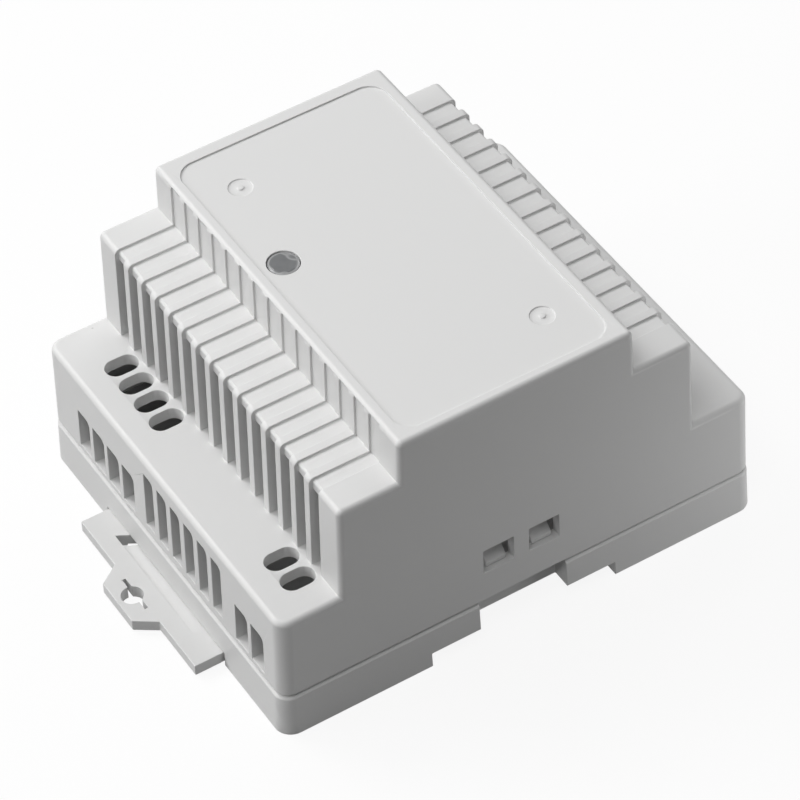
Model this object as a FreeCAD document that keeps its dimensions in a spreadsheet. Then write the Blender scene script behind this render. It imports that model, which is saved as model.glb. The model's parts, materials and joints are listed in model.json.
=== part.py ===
import FreeCAD, Part
import math
import os

import Sketcher
from FreeCAD import Placement, Rotation, Vector

# DIN rail enclosure for a wide module: a stepped, slotted cover snapped onto a shallow base,
# a sliding rail latch in the base, and a small indicator lens in the lid.
#
# X runs along the rail, Y across it and Z away from it. The pieces are drawn with Z = 0 on the
# underside of the base and then lowered by the depth of the rail recess, which puts the origin
# in the middle of the seat that lies on the rail. The latch is pulled out towards -Y.

TABLE = {
    # base
    "base_width": 78.0,
    "base_length": 92.9,
    "base_height": 8.62,
    "base_draft": 2.4,
    "base_wall": 1.9,
    "base_floor": 2.0,
    "base_corner": 3.1,
    "lip_bevel": 0.4,
    "groove_height": 0.7,
    "groove_depth": 0.45,
    "rim_rise": 0.95,
    "rim_wall": 1.2,
    "rim_gap": 0.2,
    # seat on the rail
    "rail_gap": 36.0,
    "rail_depth": 2.96,
    "rail_edge": 1.1,
    "hook_reach": 1.5,
    "hook_length": 10.0,
    "hook_spread": 28.0,
    "hook_gap": 0.3,
    "nose_relief": 0.5,
    # cover
    "seam_step": 0.52,
    "deck_height": 26.28,
    "shoulder_height": 45.78,
    "top_height": 54.64,
    "deck_edge": 68.1,
    "plateau_edge": 44.6,
    "end_draft": 1.77,
    "step_draft": 1.75,
    "cover_corner": 2.55,
    "edge_round": 1.05,
    "side_wall": 2.0,
    "end_wall": 2.2,
    "deck_wall": 2.4,
    "top_wall": 2.0,
    # vents in the two step walls
    "vent_count": 15,
    "vent_pitch": 4.447,
    "vent_width": 2.85,
    "vent_shift": -0.13,
    "bridge_setback": 0.7,
    "bridge_bevel": 0.35,
    "channel_depth": 0.45,
    "channel_back": 0.35,
    "channel_margin": 0.5,
    # wire entries, vents and screw holes of the two decks
    "wire_width": 3.87,
    "wire_pitch": 5.04,
    "wire_low": 10.37,
    "wire_high": 18.63,
    "wire_left": -26.5,
    "wire_left_count": 4,
    "wire_right": 25.8,
    "wire_right_count": 2,
    "grille_width": 2.98,
    "grille_pitch": 4.43,
    "grille_low": 11.13,
    "grille_high": 23.08,
    "grille_start": -4.11,
    "grille_count": 6,
    "slot_corner": 1.2,
    "screw_width": 3.97,
    "screw_length": 6.07,
    "screw_row": 37.43,
    # lid
    "label_width": 72.05,
    "label_length": 39.6,
    "label_corner": 3.6,
    "label_shift_x": 0.4,
    "label_shift_y": -0.12,
    "label_depth": 0.3,
    "lamp_x": -6.75,
    "lamp_y": -15.76,
    "lamp_hole": 5.7,
    "lamp_gap": 0.2,
    "lamp_sink": 0.06,
    "lens_bevel_width": 0.55,
    "lens_bevel_height": 0.16,
    "lamp_flange": 7.6,
    "lamp_flange_height": 1.4,
    "gate_x": 26.43,
    "gate_y": 12.38,
    "gate_width": 4.2,
    "gate_depth": 0.2,
    "gate_stub": 1.1,
    # snap windows in the side walls and the hooks that fill them
    "snap_spread": 8.82,
    "window_length": 5.86,
    "window_height": 5.23,
    "window_low": 15.76,
    "notch_length": 16.95,
    "notch_depth": 3.76,
    "tongue_wall": 2.0,
    "snap_width": 3.9,
    "snap_wall": 1.4,
    "snap_inset": 0.9,
    "snap_land": 0.8,
    "snap_gap": 0.1,
    # latch
    "latch_width": 38.6,
    "latch_height": 2.2,
    "latch_low": 0.5,
    "latch_gap": 0.1,
    "latch_side_gap": 0.4,
    "guide_lip": 1.6,
    "latch_reach": 5.26,
    "bar_low": 0.05,
    "bar_gap": 0.3,
    "bar_bevel": 0.45,
    "tab_root": 15.28,
    "tab_front": 9.92,
    "tab_reach": 3.78,
    "key_hole": 3.9,
    "key_slot": 7.75,
    "key_slot_width": 0.65,
    "key_slot_shift": 0.56,
    "key_reach": 0.9,
    "latch_travel": 4.0,
    "stop_width": 6.0,
    "stop_length": 3.0,
    "stop_gap": 0.3,
    "stop_inset": 15.0,
    "cut_start": -13.3,
    "cut_width": 2.45,
    "cut_slant": 1.3,
    "cut_depth": 6.0,
    "ramp_inset": 3.25,
    "ramp_depth": 0.55,
    "ramp_length": 25.1,
    # board posts inside the base
    "post_x": 31.5,
    "post_y": 36.5,
    "post_width": 5.0,
    "post_hole": 2.2,
    "post_height": 8.0,
}


class Size:
    """A length that knows both its number and the formula that the document keeps for it."""

    def __init__(self, number, text):
        self.number = number
        self.text = text

    def _join(self, other, sign, number):
        return Size(number, "({} {} {})".format(self.text, sign, other.text))

    def __add__(self, other):
        other = size_of(other)
        return self._join(other, "+", self.number + other.number)

    def __radd__(self, other):
        return size_of(other) + self

    def __sub__(self, other):
        other = size_of(other)
        return self._join(other, "-", self.number - other.number)

    def __rsub__(self, other):
        return size_of(other) - self

    def __mul__(self, other):
        other = size_of(other)
        return self._join(other, "*", self.number * other.number)

    def __rmul__(self, other):
        return size_of(other) * self

    def __truediv__(self, other):
        other = size_of(other)
        return self._join(other, "/", self.number / other.number)

    def __neg__(self):
        return Size(-self.number, "(0 - {})".format(self.text))


def size_of(value):
    """Return value as a Size, so that plain numbers and sizes mix in one sum."""
    if isinstance(value, Size):
        return value
    return Size(float(value), repr(float(value)))


def slope(angle):
    """Return how far a drafted wall leans for each millimetre of its height."""
    return Size(math.tan(math.radians(angle.number)), "tan({} * 1 deg)".format(angle.text))


doc = FreeCAD.newDocument("DinRailEnclosure")
sheet = doc.addObject("Spreadsheet::Sheet", "Sizes")
for row, (alias, number) in enumerate(TABLE.items(), start=1):
    sheet.set("A{}".format(row), alias.replace("_", " "))
    sheet.set("B{}".format(row), repr(number))
    sheet.setAlias("B{}".format(row), alias)
doc.recompute()


def size(alias):
    """Return the named size from the table."""
    return Size(float(TABLE[alias]), "Sizes." + alias)


def bind(thing, prop, value):
    """Set a property and tie it to its formula."""
    value = size_of(value)
    thing.setExpression(prop, value.text)


def origin_item(body, role):
    """Return one of a body's own origin planes or axes."""
    for item in body.Origin.OriginFeatures:
        if item.Role == role:
            return item
    raise ValueError(role)


def new_body(name, label):
    """Start a piece, lowered so that the rail seat is at the height of the origin."""
    body = doc.addObject("PartDesign::Body", name)
    body.Label = label
    bind(body, "Placement.Base.z", -size("rail_depth"))
    return body


def new_sketch(body, name, plane, offset=None):
    """Lay an empty sketch on an origin plane, moved along the plane's normal by offset."""
    sketch = body.newObject("Sketcher::SketchObject", name)
    sketch.AttachmentSupport = [(origin_item(body, plane), "")]
    sketch.MapMode = "FlatFace"
    if offset is not None:
        offset = size_of(offset)
        sketch.AttachmentOffset = Placement(Vector(0, 0, offset.number), Rotation())
        bind(sketch, "AttachmentOffset.Base.z", offset)
    return sketch


def tie(sketch, kind, place, value):
    """Add one dimension to a sketch and bind it."""
    value = size_of(value)
    index = sketch.addConstraint(Sketcher.Constraint(kind, *place, value.number))
    bind(sketch, "Constraints[{}]".format(index), value)


def pin_point(sketch, item, end, point):
    """Fix one point of a sketch by its two distances from the origin."""
    tie(sketch, "DistanceX", (-1, 1, item, end), point[0])
    tie(sketch, "DistanceY", (-1, 1, item, end), point[1])


def polygon(sketch, points):
    """Draw a closed outline through points, each of them placed by formula."""
    corners = [(size_of(x), size_of(y)) for x, y in points]
    vectors = [Vector(x.number, y.number, 0) for x, y in corners]
    lines = []
    for start, end in zip(vectors, vectors[1:] + vectors[:1]):
        lines.append(sketch.addGeometry(Part.LineSegment(start, end), False))
    for line, following in zip(lines, lines[1:] + lines[:1]):
        sketch.addConstraint(Sketcher.Constraint("Coincident", line, 2, following, 1))
    for line, corner in zip(lines, corners):
        pin_point(sketch, line, 1, corner)


def rectangle(sketch, x_low, x_high, y_low, y_high):
    """Draw a rectangle between four limits."""
    polygon(sketch, [(x_low, y_low), (x_high, y_low), (x_high, y_high), (x_low, y_high)])


def circle(sketch, x, y, diameter):
    """Draw a circle."""
    x, y, diameter = size_of(x), size_of(y), size_of(diameter)
    centre = Vector(x.number, y.number, 0)
    item = sketch.addGeometry(Part.Circle(centre, Vector(0, 0, 1), diameter.number / 2), False)
    pin_point(sketch, item, 3, (x, y))
    tie(sketch, "Diameter", (item,), diameter)


def rounded_path(sketch, centres, radius):
    """Draw a convex outline of equal corner arcs about centres, given counter-clockwise."""
    radius = size_of(radius)
    spots = [(size_of(x), size_of(y)) for x, y in centres]
    count = len(spots)
    normals = []
    for index in range(count):
        x0, y0 = spots[index - 1]
        x1, y1 = spots[index]
        run = Vector(x1.number - x0.number, y1.number - y0.number, 0).normalize()
        normals.append(Vector(run.y, -run.x, 0))
    arcs = []
    for index, (x, y) in enumerate(spots):
        start = math.atan2(normals[index].y, normals[index].x)
        after = normals[(index + 1) % count]
        end = math.atan2(after.y, after.x)
        if end <= start:
            end += 2 * math.pi
        disc = Part.Circle(Vector(x.number, y.number, 0), Vector(0, 0, 1), radius.number)
        arcs.append(sketch.addGeometry(Part.ArcOfCircle(disc, start, end), False))
    for index, arc in enumerate(arcs):
        following = arcs[(index + 1) % count]
        ends = [sketch.getPoint(arc, 2), sketch.getPoint(following, 1)]
        line = sketch.addGeometry(Part.LineSegment(*ends), False)
        sketch.addConstraint(Sketcher.Constraint("Tangent", arc, 2, line, 1))
        sketch.addConstraint(Sketcher.Constraint("Tangent", line, 2, following, 1))
    for arc in arcs[1:]:
        sketch.addConstraint(Sketcher.Constraint("Equal", arcs[0], arc))
    for arc, spot in zip(arcs, spots):
        pin_point(sketch, arc, 3, spot)
    tie(sketch, "Radius", (arcs[0],), radius)


def rounded_rectangle(sketch, half_x, half_y, radius):
    """Draw a rectangle about the origin with rounded corners."""
    x = half_x - radius
    y = half_y - radius
    rounded_path(sketch, [(-x, -y), (x, -y), (x, y), (-x, y)], radius)


def extrude(body, kind, name, sketch, length, both=False, reverse=False):
    """Pad or pocket a sketch, one way or equally to both sides of its plane."""
    feature = body.newObject("PartDesign::" + kind, name)
    feature.Profile = sketch
    feature.SideType = "Symmetric" if both else "One side"
    feature.Reversed = reverse
    feature.Length = size_of(length).number
    bind(feature, "Length", length)
    sketch.Visibility = False
    doc.recompute()
    return feature


def repeat(body, name, feature, axis, pitch, count):
    """Repeat a feature in a row along one of the body's axes."""
    row = body.newObject("PartDesign::LinearPattern", name)
    row.Originals = [feature]
    row.Direction = (origin_item(body, axis), [""])
    row.Mode = "Spacing"
    bind(row, "Offset", pitch)
    bind(row, "Occurrences", count)
    body.Tip = row
    doc.recompute()
    return row


def mirror(body, name, features, plane):
    """Mirror features in one of the body's planes."""
    copy = body.newObject("PartDesign::Mirrored", name)
    copy.Originals = features
    copy.MirrorPlane = (origin_item(body, plane), [""])
    body.Tip = copy
    doc.recompute()
    return copy


def edges_where(feature, wanted):
    """Return the names of the edges whose two ends and midpoint pass a test."""
    names = []
    for index, edge in enumerate(feature.Shape.Edges, start=1):
        ends = [vertex.Point for vertex in edge.Vertexes]
        middle = edge.valueAt((edge.FirstParameter + edge.LastParameter) / 2)
        if len(ends) == 2 and wanted(ends[0], ends[1], middle):
            names.append("Edge{}".format(index))
    return names


def dress(body, kind, name, feature, prop, amount, wanted):
    """Round or bevel the edges of a feature that pass a test."""
    item = body.newObject("PartDesign::" + kind, name)
    item.Base = (feature, edges_where(feature, wanted))
    bind(item, prop, amount)
    doc.recompute()
    return item


def near(value, target, slack=0.02):
    """Tell whether two lengths are the same."""
    return abs(value - target) < slack


# Sizes that several pieces share

half_width = size("base_width") / 2
half_length = size("base_length") / 2
cover_half_width = half_width - size("seam_step")
cover_half_length = half_length - size("seam_step")
deck_half = size("deck_edge") / 2
plateau_half = size("plateau_edge") / 2
base_height = size("base_height")
cover_low = base_height + size("groove_height")
rim_top = cover_low + size("rim_rise")
deck_height = size("deck_height")
shoulder_height = size("shoulder_height")
top_height = size("top_height")
rail_half = size("rail_gap") / 2
end_slope = slope(size("end_draft"))
step_slope = slope(size("step_draft"))
floor_height = size("rail_depth") + size("base_floor")
tongue_face = half_width - size("notch_depth")
tongue_back = tongue_face - size("tongue_wall")
notch_half = size("notch_length") / 2
snap_half = size("snap_spread") / 2
channel_half = size("latch_width") / 2 + size("latch_side_gap")
latch_top = size("latch_low") + size("latch_height")
channel_top = latch_top + size("latch_gap")
lip_top = size("latch_low") - size("latch_gap")
cover_end_inner = cover_half_length - size("end_wall")
cover_side_inner = cover_half_width - size("side_wall")


def end_at(height):
    """Return the half-length of the cover's end walls at a height."""
    return cover_half_length - end_slope * (height - cover_low)


def step_at(height):
    """Return the half-length of the slotted step walls at a height."""
    return deck_half - step_slope * (height - deck_height)


def plateau_at(height):
    """Return the half-length of the lid's own walls at a height."""
    return plateau_half - step_slope * (height - shoulder_height)


# Cover: a stepped profile across the rail, rounded, hollowed and slotted

cover = new_body("Cover", "cover")
profile = new_sketch(cover, "CoverProfile", "YZ_Plane")
right_side = [
    (end_at(cover_low), cover_low),
    (end_at(deck_height), deck_height),
    (step_at(deck_height), deck_height),
    (step_at(shoulder_height), shoulder_height),
    (plateau_at(shoulder_height), shoulder_height),
    (plateau_at(top_height), top_height),
]
left_side = [(-y, z) for y, z in reversed(right_side)]
polygon(profile, right_side + left_side)
block = extrude(cover, "Pad", "CoverBlock", profile, cover_half_width * 2, both=True)

corner_x = cover_half_width.number
corner_y = end_at(deck_height).number
corners = dress(
    cover, "Fillet", "CoverCorners", block, "Radius", size("cover_corner"),
    lambda a, b, m: near(abs(m.x), corner_x) and abs(m.y) > corner_y - 0.01
    and abs(a.z - b.z) > 1 and near(min(a.z, b.z), cover_low.number),
)

deck_inner = deck_half.number
shoulder_inner = plateau_half.number


def is_outer_edge(a, b, m):
    """Pick the rims of the decks and lid and the side edges of the step walls."""
    level = near(a.z, b.z)
    if level and near(m.z, deck_height.number):
        return not (near(abs(a.y), deck_inner) and near(abs(b.y), deck_inner))
    if level and near(m.z, shoulder_height.number):
        return not (near(abs(a.y), shoulder_inner) and near(abs(b.y), shoulder_inner))
    if level and near(m.z, top_height.number):
        return True
    on_side = near(abs(m.x), corner_x) and near(abs(a.x), abs(b.x))
    return on_side and not level and min(a.z, b.z) > deck_height.number - 0.1


rims = dress(
    cover, "Fillet", "CoverRims", corners, "Radius", size("edge_round"), is_outer_edge,
)

hollow_sketch = new_sketch(cover, "CoverHollowProfile", "YZ_Plane")
under_deck = deck_height - size("deck_wall")
under_shoulder = shoulder_height - size("deck_wall")
under_top = top_height - size("top_wall")
right_hollow = [
    (cover_end_inner, cover_low - 1.0),
    (end_at(under_deck) - size("end_wall"), under_deck),
    (step_at(under_deck) - size("end_wall"), under_deck),
    (step_at(under_shoulder) - size("end_wall"), under_shoulder),
    (plateau_at(under_shoulder) - size("end_wall"), under_shoulder),
    (plateau_at(under_top) - size("end_wall"), under_top),
]
left_hollow = [(-y, z) for y, z in reversed(right_hollow)]
polygon(hollow_sketch, right_hollow + left_hollow)
hollow = extrude(
    cover, "Pocket", "CoverHollow", hollow_sketch, cover_side_inner * 2, both=True,
)

# One cut per vent opens the step wall below the shoulder, whose set-back edge bridges the slot,
# and goes on as a shallow channel over the shoulder and up the wall of the lid. The outline is
# drawn for both sides of the cover.

vent_sketch = new_sketch(
    cover, "VentProfile", "YZ_Plane",
    size("vent_shift") - size("vent_pitch") * (size("vent_count") - 1) / 2,
)
clear = size_of(2.0)
bridge_top = shoulder_height - size("channel_depth")
bridge_low = under_shoulder
bridge_face = step_at(bridge_top) - size("bridge_setback")
channel_end = top_height - size("channel_margin")
channel_wall = plateau_at(channel_end) - size("channel_back")
vent_outline = [
    (deck_half + clear, deck_height),
    (step_at(under_deck) - size("end_wall") - clear, deck_height),
    (step_at(under_deck) - size("end_wall") - clear, bridge_low),
    (bridge_face, bridge_low),
    (bridge_face, bridge_top - size("bridge_bevel")),
    (bridge_face - size("bridge_bevel"), bridge_top),
    (plateau_at(bridge_top) - size("channel_back"), bridge_top),
    (channel_wall, channel_end),
    (plateau_half + clear, channel_end),
    (plateau_half + clear, shoulder_height + clear),
    (deck_half + clear, shoulder_height + clear),
]
polygon(vent_sketch, vent_outline)
polygon(vent_sketch, [(-y, z) for y, z in vent_outline])
vent = extrude(cover, "Pocket", "Vent", vent_sketch, size("vent_width"), both=True)
vents = repeat(
    cover, "VentRow", vent, "X_Axis", size("vent_pitch"), size("vent_count"),
)

# Wire entries and air slots go straight through both end walls, each with one rounded corner


def slot_outline(sketch, x_low, x_high, z_low, z_high, radius):
    """Draw an upright rectangle whose corner at the two high limits is rounded."""
    limits = [size_of(value) for value in (x_low, x_high, z_low, z_high, radius)]
    x_low, x_high, z_low, z_high, radius = limits
    centre_x = x_high - radius
    centre_z = z_high - radius
    centre = Vector(centre_x.number, centre_z.number, 0)
    spots = [
        Vector(x_low.number, z_low.number, 0),
        Vector(x_high.number, z_low.number, 0),
        Vector(x_high.number, centre_z.number, 0),
        Vector(centre_x.number, z_high.number, 0),
        Vector(x_low.number, z_high.number, 0),
    ]
    foot = sketch.addGeometry(Part.LineSegment(spots[0], spots[1]), False)
    side = sketch.addGeometry(Part.LineSegment(spots[1], spots[2]), False)
    disc = Part.Circle(centre, Vector(0, 0, 1), radius.number)
    arc = sketch.addGeometry(Part.ArcOfCircle(disc, 0.0, math.pi / 2), False)
    head = sketch.addGeometry(Part.LineSegment(spots[3], spots[4]), False)
    back = sketch.addGeometry(Part.LineSegment(spots[4], spots[0]), False)
    sketch.addConstraint(Sketcher.Constraint("Coincident", foot, 2, side, 1))
    sketch.addConstraint(Sketcher.Constraint("Tangent", side, 2, arc, 1))
    sketch.addConstraint(Sketcher.Constraint("Tangent", arc, 2, head, 1))
    sketch.addConstraint(Sketcher.Constraint("Coincident", head, 2, back, 1))
    sketch.addConstraint(Sketcher.Constraint("Coincident", back, 2, foot, 1))
    pin_point(sketch, foot, 1, (x_low, z_low))
    pin_point(sketch, foot, 2, (x_high, z_low))
    pin_point(sketch, arc, 3, (centre_x, centre_z))
    tie(sketch, "Radius", (arc,), radius)
    pin_point(sketch, back, 1, (x_low, z_high))


def end_slots(name, start, pitch, count, width, low, high):
    """Cut a row of upright slots through the two end walls."""
    sketch = new_sketch(cover, name + "Profile", "XZ_Plane")
    slot_outline(
        sketch, start - width / 2, start + width / 2, low, high, size("slot_corner"),
    )
    slot = extrude(
        cover, "Pocket", name, sketch, cover_half_length * 2 + clear, both=True,
    )
    return repeat(cover, name + "Row", slot, "X_Axis", pitch, count)


end_slots(
    "WireLeft", size("wire_left"), size("wire_pitch"), size("wire_left_count"),
    size("wire_width"), size("wire_low"), size("wire_high"),
)
end_slots(
    "WireRight", size("wire_right"), size("wire_pitch"), size("wire_right_count"),
    size("wire_width"), size("wire_low"), size("wire_high"),
)
end_slots(
    "Grille", size("grille_start"), size("grille_pitch"), size("grille_count"),
    size("grille_width"), size("grille_low"), size("grille_high"),
)


def screw_holes(name, start, count):
    """Cut a row of long screw holes through both decks, one over each wire entry."""
    radius = size("screw_width") / 2
    reach = size("screw_length") / 2 - radius
    sketch = new_sketch(cover, name + "Profile", "XY_Plane", deck_height)
    for row in (size("screw_row"), -size("screw_row")):
        rounded_path(sketch, [(start, row - reach), (start, row + reach)], radius)
    hole = extrude(cover, "Pocket", name, sketch, size("deck_wall") + clear, both=True)
    return repeat(cover, name + "Row", hole, "X_Axis", size("wire_pitch"), count)


screw_holes("ScrewLeft", size("wire_left"), size("wire_left_count"))
screw_holes("ScrewRight", size("wire_right"), size("wire_right_count"))

# Lid: label recess, two gate dimples each with its stub, and the lamp hole

label_floor = top_height - size("label_depth")
label_sketch = new_sketch(cover, "LabelProfile", "XY_Plane", label_floor)
label_reach_x = size("label_width") / 2 - size("label_corner")
label_reach_y = size("label_length") / 2 - size("label_corner")
label_x = size("label_shift_x")
label_y = size("label_shift_y")
rounded_path(
    label_sketch,
    [
        (label_x - label_reach_x, label_y - label_reach_y),
        (label_x + label_reach_x, label_y - label_reach_y),
        (label_x + label_reach_x, label_y + label_reach_y),
        (label_x - label_reach_x, label_y + label_reach_y),
    ],
    size("label_corner"),
)
extrude(cover, "Pocket", "LabelRecess", label_sketch, size("label_depth") + clear, reverse=True)

gate_sketch = new_sketch(cover, "GateProfile", "XY_Plane", label_floor - size("gate_depth"))
for sign in (1, -1):
    gate = (label_x + size("gate_x") * sign, label_y + size("gate_y") * sign)
    circle(gate_sketch, gate[0], gate[1], size("gate_width"))
    circle(gate_sketch, gate[0], gate[1], size("gate_stub"))
extrude(cover, "Pocket", "GateDimples", gate_sketch, size("gate_depth") + clear, reverse=True)

lamp_sketch = new_sketch(cover, "LampProfile", "XY_Plane", top_height)
circle(lamp_sketch, size("lamp_x"), size("lamp_y"), size("lamp_hole"))
extrude(cover, "Pocket", "LampHole", lamp_sketch, size("top_wall") * 2 + clear, both=True)

# Snap windows, two in each side wall

window_sketch = new_sketch(cover, "WindowProfile", "YZ_Plane")
for sign in (1, -1):
    middle = snap_half * sign
    rectangle(
        window_sketch,
        middle - size("window_length") / 2,
        middle + size("window_length") / 2,
        size("window_low"),
        size("window_low") + size("window_height"),
    )
extrude(
    cover, "Pocket", "SnapWindows", window_sketch, cover_half_width * 2 + clear, both=True,
)

# Base: a shallow tray that flares towards the rail and carries the rim, the hooks and the guide

base = new_body("Base", "base")
base_lean = slope(size("base_draft")) * base_height
tray_sketch = new_sketch(base, "TrayProfile", "XY_Plane")
rounded_rectangle(tray_sketch, half_width, half_length, size("base_corner"))
tray = extrude(base, "Pad", "Tray", tray_sketch, base_height)
bind(tray, "TaperAngle", -size("base_draft"))
doc.recompute()
bevelled = dress(
    base, "Chamfer", "TrayLip", tray, "Size", size("lip_bevel"),
    lambda a, b, m: near(a.z, base_height.number) and near(b.z, base_height.number),
)

# The cover stands on a land that is set in from its faces, which leaves a shadow groove all round

land_sketch = new_sketch(base, "LandProfile", "XY_Plane", base_height - 1.0)
rounded_rectangle(
    land_sketch,
    cover_half_width - size("groove_depth"),
    cover_half_length - size("groove_depth"),
    size("cover_corner") - size("groove_depth"),
)
extrude(base, "Pad", "Land", land_sketch, size("groove_height") + 1.0)

rim_sketch = new_sketch(base, "RimProfile", "XY_Plane")
rim_half_x = cover_side_inner - size("rim_gap")
rim_half_y = cover_end_inner - end_slope * size("rim_rise") - size("rim_gap")
rectangle(rim_sketch, -rim_half_x, rim_half_x, -rim_half_y, rim_half_y)
extrude(base, "Pad", "Rim", rim_sketch, rim_top)

# The inside of the tray steps in behind each side notch, so that the hooks have a wall to grow from

room_half_x = rim_half_x - size("rim_wall")
room_half_y = rim_half_y - size("rim_wall")
return_half = notch_half + size("tongue_wall")
room_sketch = new_sketch(base, "RoomProfile", "XY_Plane", floor_height)
polygon(
    room_sketch,
    [
        (-room_half_x, -room_half_y),
        (room_half_x, -room_half_y),
        (room_half_x, -return_half),
        (tongue_back, -return_half),
        (tongue_back, return_half),
        (room_half_x, return_half),
        (room_half_x, room_half_y),
        (-room_half_x, room_half_y),
        (-room_half_x, return_half),
        (-tongue_back, return_half),
        (-tongue_back, -return_half),
        (-room_half_x, -return_half),
    ],
)
extrude(
    base, "Pocket", "Room", room_sketch,
    rim_top - floor_height + clear, reverse=True,
)

recess_sketch = new_sketch(base, "RecessProfile", "YZ_Plane")
rectangle(recess_sketch, -rail_half, rail_half, -clear, size("rail_depth"))
extrude(base, "Pocket", "RailRecess", recess_sketch, half_width * 2 + clear, both=True)

# The feet are hollow from above, except over the latch guide

foot_inner = rail_half + size("base_wall")
guide_outer = channel_half + size("base_wall")
foot_sketch = new_sketch(base, "FootProfile", "XY_Plane", size("base_floor"))
rectangle(foot_sketch, -room_half_x, room_half_x, foot_inner, room_half_y)
rectangle(foot_sketch, guide_outer, room_half_x, -room_half_y, -foot_inner)
rectangle(foot_sketch, -room_half_x, -guide_outer, -room_half_y, -foot_inner)
extrude(
    base, "Pocket", "FootPockets", foot_sketch, floor_height - size("base_floor"), reverse=True,
)

notch_sketch = new_sketch(base, "NotchProfile", "XY_Plane", size("rail_depth"))
for sign in (1, -1):
    inner = tongue_face * sign
    outer = (half_width + clear) * sign
    rectangle(notch_sketch, inner, outer, -notch_half, notch_half)
extrude(
    base, "Pocket", "SideNotches", notch_sketch,
    rim_top - size("rail_depth") + clear, reverse=True,
)

# Latch guide: open to the front and to the rail, with a lip below each edge of the latch

guide_sketch = new_sketch(base, "GuideProfile", "XY_Plane", lip_top)
rectangle(guide_sketch, -channel_half, channel_half, -half_length - clear, -rail_half + 0.5)
extrude(base, "Pocket", "Guide", guide_sketch, channel_top - lip_top, reverse=True)
lip_half = channel_half - size("guide_lip")
lip_end = half_length - size("base_wall")
gap_sketch = new_sketch(base, "GuideGapProfile", "XY_Plane")
polygon(
    gap_sketch,
    [
        (-channel_half, -half_length - clear),
        (channel_half, -half_length - clear),
        (channel_half, -lip_end),
        (lip_half, -lip_end),
        (lip_half, -rail_half + 0.5),
        (-lip_half, -rail_half + 0.5),
        (-lip_half, -lip_end),
        (-channel_half, -lip_end),
    ],
)
extrude(base, "Pocket", "GuideGap", gap_sketch, lip_top + 0.5, reverse=True)

stop_front = half_length - size("stop_inset")
stop_sketch = new_sketch(base, "StopProfile", "XY_Plane", channel_top + 0.5)
rectangle(
    stop_sketch,
    -size("stop_width") / 2,
    size("stop_width") / 2,
    -stop_front,
    -stop_front + size("stop_length"),
)
extrude(base, "Pad", "Stop", stop_sketch, channel_top + 0.5 - size("latch_low"), reverse=True)

# Fixed hooks hold the far edge of the rail

hook_half = size("hook_spread") / 2
hook_top = size("rail_depth") - size("rail_edge")
hook_sketch = new_sketch(base, "RailHookProfile", "YZ_Plane")
polygon(
    hook_sketch,
    [
        (rail_half + 0.5, 0.0),
        (rail_half - size("hook_reach") / 2, 0.0),
        (rail_half - size("hook_reach"), hook_top / 2),
        (rail_half - size("hook_reach"), hook_top),
        (rail_half + 0.5, hook_top),
    ],
)
bind(hook_sketch, "AttachmentOffset.Base.z", -hook_half)
hooks = extrude(base, "Pad", "RailHook", hook_sketch, size("hook_length"), both=True)
repeat(base, "RailHooks", hooks, "X_Axis", size("hook_spread"), size_of(2))

# The mould forms the top of each hook through an opening in the floor, and the nose of the latch
# gets a shallow relief in the seat

hook_tip = rail_half - size("hook_reach")
opening_sketch = new_sketch(base, "HookOpeningProfile", "XY_Plane", hook_top)
for sign in (1, -1):
    middle = hook_half * sign
    rectangle(
        opening_sketch,
        middle - size("hook_length") / 2 - size("hook_gap"),
        middle + size("hook_length") / 2 + size("hook_gap"),
        hook_tip - size("hook_gap"),
        rail_half,
    )
extrude(
    base, "Pocket", "HookOpenings", opening_sketch, floor_height - hook_top + clear, reverse=True,
)
relief_sketch = new_sketch(base, "NoseReliefProfile", "XY_Plane", size("rail_depth") - 0.5)
rectangle(relief_sketch, -channel_half, channel_half, -rail_half - 0.2, -hook_tip + size("hook_gap"))
extrude(base, "Pocket", "NoseRelief", relief_sketch, size("nose_relief") + 0.5, reverse=True)

# Snap hooks: a tongue up each side notch with a wedge that fills the lower part of the window

snap_face = cover_half_width - size("snap_inset")
snap_low = size("window_low") + size("snap_gap")
snap_top = snap_low + size("snap_land") + snap_face - tongue_face
tongue_root = base_height - 1.0
snap_outline = [
    (tongue_face - size("snap_wall"), tongue_root),
    (tongue_face, tongue_root),
    (tongue_face, snap_low),
    (snap_face, snap_low),
    (snap_face, snap_low + size("snap_land")),
    (tongue_face, snap_top),
    (tongue_face - size("snap_wall") / 2, snap_top + 0.5),
    (tongue_face - size("snap_wall"), snap_top + 0.5),
]
snap_sketch = new_sketch(base, "SnapProfile", "XZ_Plane", snap_half)
polygon(snap_sketch, snap_outline)
polygon(snap_sketch, [(-x, z) for x, z in snap_outline])
snap = extrude(base, "Pad", "SnapHook", snap_sketch, size("snap_width"), both=True)
repeat(base, "SnapHooks", snap, "Y_Axis", snap_half * 2, size_of(2))

# Board posts in the four corners of the tray

post_sketch = new_sketch(base, "PostProfile", "XY_Plane", size("base_floor") - 0.5)
bore_sketch = new_sketch(base, "PostBoreProfile", "XY_Plane", size("base_floor"))
for sign_x in (1, -1):
    for sign_y in (1, -1):
        place = (size("post_x") * sign_x, size("post_y") * sign_y)
        circle(post_sketch, place[0], place[1], size("post_width"))
        circle(bore_sketch, place[0], place[1], size("post_hole"))
extrude(base, "Pad", "Posts", post_sketch, size("post_height") - size("base_floor") + 0.5)
extrude(
    base, "Pocket", "PostBores", bore_sketch, size("post_height") + clear, reverse=True,
)

# Rail latch: a flat slide with a pull tab, a key hole, a snap finger and a nose under the rail

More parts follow.
